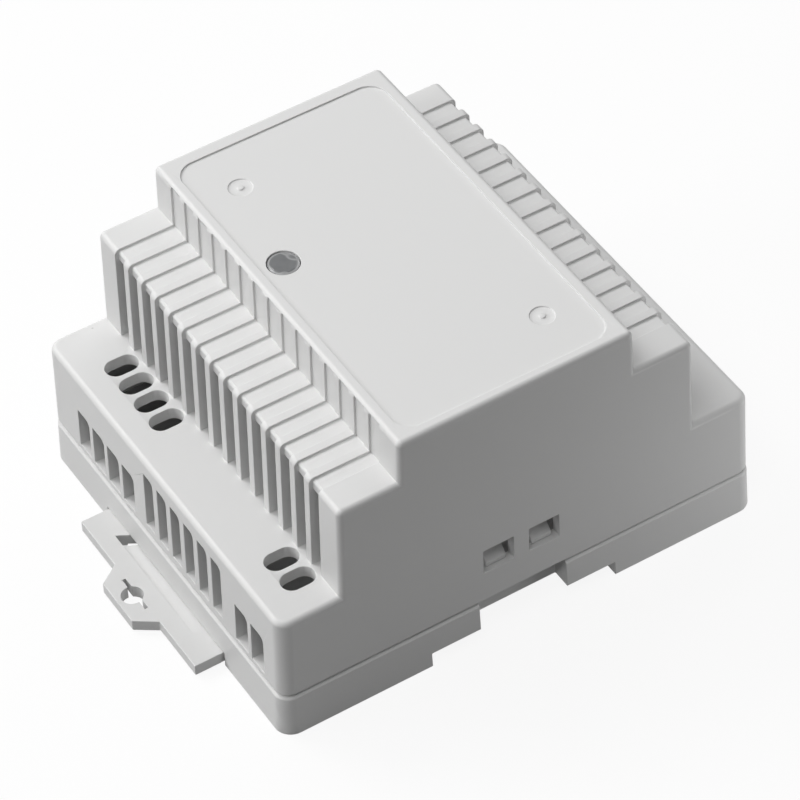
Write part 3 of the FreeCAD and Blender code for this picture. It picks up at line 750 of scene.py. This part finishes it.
class CadPiece:
    """A piece of the CAD part, with its finish, its broken edges and any small change of shape."""

    def __init__(
        self,
        frame: dict[str, Any],
        node: Node,
        finish: MouldedPlastic | SmokeLens,
        slot: Slot,
        edges: EdgeStyle | None,
        change: ScrewHoles | RampEnd | None = None,
    ) -> None:
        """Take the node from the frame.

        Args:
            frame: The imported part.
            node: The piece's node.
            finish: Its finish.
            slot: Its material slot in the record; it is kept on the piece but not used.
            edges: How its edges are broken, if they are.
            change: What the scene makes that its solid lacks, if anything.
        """
        self.item: bpy.types.Object = frame["nodes"][node.value]
        self.finish = finish
        self.slot = slot
        self.edges = edges
        self.change = change

    def dress(self) -> bpy.types.Object:
        """Apply the finish and the edges, and return the object."""
        self.item.data.materials.clear()
        self.item.data.materials.append(self.finish.build())
        if self.edges:
            self._break_edges(self.edges)
        return self.item

    def _break_edges(self, style: EdgeStyle) -> None:
        """Weld the mesh, make the piece's change, break its edges and smooth what is left.

        Args:
            style: How the edges are broken.
        """
        weld = self.item.modifiers.new("Weld", "WELD")
        weld.merge_threshold = WELD_DISTANCE
        if self.change:
            changed = self.item.modifiers.new("Change", "NODES")
            changed.node_group = self.change.group()
        chosen = self.item.modifiers.new("ChosenEdges", "NODES")
        chosen.node_group = style.group(self.item.name)
        bevel = self.item.modifiers.new("BrokenEdges", "BEVEL")
        bevel.width = style.width
        bevel.segments = style.steps
        bevel.limit_method = "WEIGHT"
        bevel.use_clamp_overlap = False
        bevel.loop_slide = False
        bevel.miter_outer = "MITER_ARC"
        bevel.harden_normals = False
        bevel.face_strength_mode = "FSTR_ALL"
        shading = self.item.modifiers.new("Shading", "NODES")
        shading.node_group = shading_group(style.smooth)
        flat = self.item.modifiers.new("FlatFaces", "WEIGHTED_NORMAL")
        flat.mode = "FACE_AREA"
        flat.weight = FLAT_FACE_WEIGHT
        flat.keep_sharp = True
        flat.use_face_influence = True


# Studio


def direction(azimuth: float, elevation: float) -> Vector:
    """Return the unit vector from the part towards a place round it, given in degrees."""
    a, e = math.radians(azimuth), math.radians(elevation)
    return Vector((math.sin(a) * math.cos(e), -math.cos(a) * math.cos(e), math.sin(e)))


@dataclass(frozen=True)
class Softbox:
    """A soft lamp that looks at the part.

    Args:
        name: Name of the lamp.
        azimuth: Where it stands, in degrees, as for the camera.
        elevation: How high it stands, in degrees.
        distance: Metres from the spot it looks at.
        width: Its width in metres.
        height: Its height in metres.
        power: Watts.
        aim: Height of the spot it looks at, in metres above the rail seat.
    """

    name: str
    azimuth: float
    elevation: float
    distance: float
    width: float
    height: float
    power: float
    aim: float = 0.02

    def place(self) -> bpy.types.Object:
        """Put the lamp in the scene."""
        lamp = bpy.data.lights.new(self.name, "AREA")
        lamp.shape = "RECTANGLE"
        lamp.size = self.width
        lamp.size_y = self.height
        lamp.energy = self.power
        item = bpy.data.objects.new(self.name, lamp)
        back = direction(self.azimuth, self.elevation)
        item.location = Vector((0.0, 0.0, self.aim)) + back * self.distance
        item.rotation_mode = "QUATERNION"
        item.rotation_quaternion = (-back).to_track_quat("-Z", "Y")
        bpy.context.scene.collection.objects.link(item)
        return item


@dataclass(frozen=True)
class Studio:
    """A pale floor, a white surround for the camera and soft lamps.

    Args:
        floor_height: Height of the floor in metres above the rail seat.
        floor_half: Half of the floor's width in metres.
        floor_colour: Colour of the floor's paper, linear.
        bounce_colour: Colour that the floor has for the light it throws back, linear.
        shadow_share: Share of the lit paper, and so of the shadow on it, in what is seen of the floor.
        paper_scale: Waves per metre of the paper's clouds.
        paper_shade: Share of the paper's colour that its darkest cloud keeps.
        ambient: Strength of the light from all round.
        lamps: The soft lamps.
    """

    floor_height: float
    floor_half: float = 3.0
    floor_colour: Colour = (0.90, 0.90, 0.90)
    bounce_colour: Colour = (0.30, 0.30, 0.30)
    shadow_share: float = 0.10
    paper_scale: float = 60.0
    paper_shade: float = 0.985
    ambient: float = 0.01
    lamps: tuple[Softbox, ...] = (
        Softbox("Key", -60.0, 45.0, 1.1, 0.5, 0.5, 6.4),
        Softbox("KeyHigh", -100.0, 65.0, 1.1, 0.5, 0.5, 1.2),
        Softbox("Front", -20.0, 25.0, 1.1, 0.5, 0.5, 4.4),
        Softbox("Top", 50.0, 68.0, 1.1, 0.5, 0.5, 3.4),
        Softbox("Back", -140.0, 45.0, 1.1, 0.5, 0.5, 1.7),
        Softbox("BackStrip", 138.0, -4.25, 0.1349, 0.06, 0.03, 0.045, 0.01),
    )

    def build(self) -> None:
        """Make the floor, the surround and the lamps."""
        self._floor()
        self._surround()
        for lamp in self.lamps:
            lamp.place()

    def _seen(self, tree: Tree) -> Term:
        """Return 1 for rays that show the background: camera, mirror and clear ones."""
        path = tree.add("ShaderNodeLightPath")
        seen = tree.term(path.outputs["Is Camera Ray"])
        for name in ("Is Glossy Ray", "Is Transmission Ray"):
            seen = seen.largest(tree.term(path.outputs[name]))
        return seen

    def _floor(self) -> bpy.types.Object:
        """Return the floor, which shows white with a soft shadow."""
        half = self.floor_half
        mesh = bpy.data.meshes.new("Floor")
        corners = [(-half, -half), (half, -half), (half, half), (-half, half)]
        mesh.from_pydata([(x, y, self.floor_height) for x, y in corners], [], [(0, 1, 2, 3)])
        floor = bpy.data.objects.new("Floor", mesh)
        bpy.context.scene.collection.objects.link(floor)
        material, tree, output = new_material("floor_paper")
        place = tree.add("ShaderNodeTexCoord").outputs["Object"]
        paper = tree.noise(place, self.paper_scale, 3.0)
        dim = tuple(c * self.paper_shade for c in self.floor_colour)
        colour = tree.mix_colour(paper, dim, self.floor_colour)
        dull = tree.add("ShaderNodeBsdfDiffuse", Color=self.bounce_colour)
        matt = tree.add("ShaderNodeBsdfDiffuse", Color=colour)
        glow = tree.add("ShaderNodeEmission", Color=WHITE, Strength=1.0)
        shown = tree.mix_shader(self.shadow_share, glow, matt)
        tree.feed(output.inputs["Surface"], tree.mix_shader(self._seen(tree), dull, shown).outputs[0])
        mesh.materials.append(material)
        return floor

    def _surround(self) -> None:
        """Light the scene softly from all round, and show white to the camera."""
        world = bpy.data.worlds.new("Surround")
        world.use_nodes = True
        tree = Tree(world.node_tree)
        soft = tree.add("ShaderNodeBackground", Color=WHITE, Strength=self.ambient)
        white = tree.add("ShaderNodeBackground", Color=WHITE, Strength=1.0)
        mix = tree.mix_shader(self._seen(tree), soft, white)
        output = tree.add("ShaderNodeOutputWorld")
        tree.feed(output.inputs["Surface"], mix.outputs[0])
        bpy.context.scene.world = world


@dataclass(frozen=True)
class PhotoCamera:
    """The camera of the product shot.

    Args:
        azimuth: Degrees round the part.
        elevation: Degrees above it.
        roll: Degrees about the view.
        distance: Metres from the target.
        target_height: Height of the target above the rail seat in metres.
        focal: Focal length in picture widths.
        shift: Shift of the picture in picture widths.
        sensor: Width of the sensor in millimetres.
        nearest: Distance in metres from which things are seen.
        farthest: Distance in metres up to which things are seen.
    """

    azimuth: float = 60.3348
    elevation: float = 45.4848
    roll: float = -3.1481
    distance: float = 0.70360
    target_height: float = 0.02504
    focal: float = 5.28090
    shift: tuple[float, float] = (0.00702, -0.04710)
    sensor: float = 36.0
    nearest: float = 0.01
    farthest: float = 20.0

    def place(self) -> bpy.types.Object:
        """Put the camera in the scene and make it the one that renders."""
        lens = bpy.data.cameras.new("ProductCamera")
        lens.sensor_fit = "HORIZONTAL"
        lens.sensor_width = self.sensor
        lens.lens = self.sensor * self.focal
        lens.shift_x, lens.shift_y = self.shift
        lens.clip_start, lens.clip_end = self.nearest, self.farthest
        back = direction(self.azimuth, self.elevation)
        right = (-back).cross(Vector((0.0, 0.0, 1.0))).normalized()
        up = right.cross(-back)
        turn = math.radians(self.roll)
        right, up = (
            right * math.cos(turn) + up * math.sin(turn),
            up * math.cos(turn) - right * math.sin(turn),
        )
        spot = Vector((0.0, 0.0, self.target_height)) + back * self.distance
        item = bpy.data.objects.new("ProductCamera", lens)
        item.matrix_world = Matrix.Translation(spot) @ Matrix((right, up, back)).transposed().to_4x4()
        bpy.context.scene.collection.objects.link(item)
        bpy.context.scene.camera = item
        return item


# The whole part

HOUSING_GREY: Colour = (0.690, 0.690, 0.686)
LATCH_GREY: Colour = (0.640, 0.640, 0.636)
SMOKE: Colour = (0.145, 0.15, 0.155)
# Colour of the painted highlight on the lens's rim
PAINTED_RIM_HIGHLIGHT: Colour = (0.38, 0.385, 0.39)
LENS_MIDDLE = (-6.75, -15.76)
RIM_HIGHLIGHT_RADIUS = 2.32
COVER_HALF_ROOM = 36.6
BASE_HALF_ROOM = 35.15

# Boxes in millimetres where a broken edge would tear
HOLE_FEET: Box = ((-36.0, -42.0, 20.8), (36.0, 42.0, 21.3))
KEY_HOLE: Box = ((-4.2, -55.0, -0.4), (4.2, -50.5, 0.0))
RAMP_FRONT: Box = ((-14.0, -48.6, -1.0), (15.0, -48.3, 0.0))
RAMP_FAR_END: Box = ((12.9, -48.6, -1.0), (13.2, -45.1, 0.0))
RAMP_NEAR_END: Box = ((-13.0, -48.0, -1.0), (-11.2, -45.0, 0.0))


def cad_pieces(frame: dict[str, Any]) -> list[CadPiece]:
    """Pair each node of the part with its finish and edges.

    Args:
        frame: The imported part.

    Returns:
        The pieces, in the order in which they are dressed.
    """
    # Cover and base get painted shade on their inner faces, inside the room given here.
    cover = MouldedPlastic("cover_abs", HOUSING_GREY, PaintedInnerShade(COVER_HALF_ROOM))
    base = MouldedPlastic("base_abs", HOUSING_GREY, PaintedInnerShade(BASE_HALF_ROOM))
    latch = MouldedPlastic("latch_abs", LATCH_GREY, roughness=0.40)
    smoke = SmokeLens("smoke_lens", SMOKE, PAINTED_RIM_HIGHLIGHT, LENS_MIDDLE, RIM_HIGHLIGHT_RADIUS)
    cover_edges = EdgeStyle(crisp=(HOLE_FEET,))
    base_edges = EdgeStyle(width=0.00012)
    latch_edges = EdgeStyle(
        width=0.00012, smooth=8.5, crisp=(KEY_HOLE, RAMP_FRONT, RAMP_FAR_END, RAMP_NEAR_END),
    )
    return [
        CadPiece(frame, Node.COVER, cover, Slot.HOUSING, cover_edges, ScrewHoles()),
        CadPiece(frame, Node.BASE, base, Slot.HOUSING, base_edges),
        CadPiece(frame, Node.LATCH, latch, Slot.LATCH, latch_edges, RampEnd()),
        CadPiece(frame, Node.LENS, smoke, Slot.LENS, None),
    ]


def main() -> None:
    """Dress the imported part, light it and report the pieces."""
    logging.basicConfig(level=logging.INFO, format="%(message)s")
    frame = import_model()
    for piece in cad_pieces(frame):
        item = piece.dress()
        LOG.info("dressed %s", item.name)
    low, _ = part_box(Node.BASE.value)
    Studio(floor_height=low.z).build()
    PhotoCamera().place()
    view = bpy.context.scene.view_settings
    view.view_transform = "Standard"


if __name__ == "__main__":
    main()
